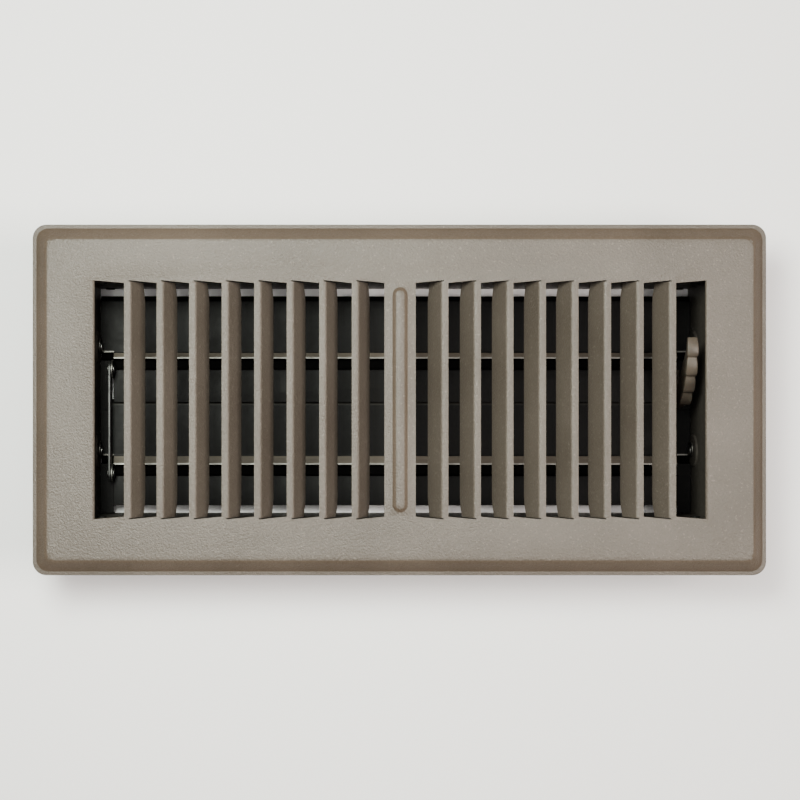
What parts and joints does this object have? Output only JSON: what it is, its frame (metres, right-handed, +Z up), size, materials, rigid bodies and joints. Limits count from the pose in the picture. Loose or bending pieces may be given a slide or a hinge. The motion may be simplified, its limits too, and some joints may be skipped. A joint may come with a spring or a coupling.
{
  "type": "louvred floor register",
  "caption": "Rectangular stamped steel floor register: diverging louvre fins in a raised faceplate over a drop-in box with a linked damper worked by a thumbwheel in an end slot.",
  "frame": {"origin": "centre of the duct opening in the plane of the finished floor, which is the underside of the faceplate's lip", "axes": "+Z up out of the floor, +X along the length towards the thumbwheel, +Y across the width towards the side where the wheel rolls to open"},
  "size_m": [0.2922, 0.1396, 0.0422],
  "materials": {
    "face_powder": "satin taupe powder coat with a fine sandy grain",
    "box_black": "satin black coil coating",
    "blade_black": "satin charcoal coil coating, bare at the cut edges",
    "link_zinc": "zinc plated strip",
    "rivet_zinc": "zinc plated, peened",
    "rivet_black": "satin black paint over steel",
    "wheel_plastic": "moulded taupe plastic"
  },
  "bodies": {
    "register": {"faceplate": "face_powder", "rear_wall": "box_black", "front_wall": "box_black", "link_end_wall": "box_black", "wheel_end_wall": "box_black", "pivot_rivet_rear_link_end": "rivet_zinc", "pivot_rivet_rear_wheel_end": "rivet_zinc", "pivot_rivet_front_link_end": "rivet_zinc", "pivot_rivet_front_wheel_end": "rivet_zinc", "friction_washer": "rivet_zinc", "corner_rivets_rear_link_end": "rivet_black", "corner_rivets_rear_wheel_end": "rivet_black", "corner_rivets_front_link_end": "rivet_black", "corner_rivets_front_wheel_end": "rivet_black"},
    "rear_blade": {"rear_blade": "blade_black", "thumbwheel": "wheel_plastic", "wheel_rivets": "rivet_zinc", "link_rivet_rear": "rivet_zinc"},
    "front_blade": {"front_blade": "blade_black", "link_rivet_front": "rivet_zinc"},
    "link": {"link_bar": "link_zinc"}
  },
  "joints": [
    {"name": "rear_blade_turn", "type": "hinge", "parent": "register", "child": "rear_blade", "pos_m": [0, 0.0222, -0.026], "axis": [-1, 0, 0], "range_deg": [0, 55]},
    {"name": "front_blade_turn", "type": "hinge", "parent": "register", "child": "front_blade", "pos_m": [0, -0.0208, -0.026], "axis": [-1, 0, 0], "range_deg": [0, 55]},
    {"name": "link_swing", "type": "hinge", "parent": "rear_blade", "child": "link", "pos_m": [-0.1179, 0.013, -0.0228], "axis": [-1, 0, 0], "range_deg": [-55, 0]}
  ],
  "couplings": [
    {"joint": "front_blade_turn", "follows": "rear_blade_turn", "ratio": 1},
    {"joint": "link_swing", "follows": "rear_blade_turn", "ratio": -1}
  ]
}
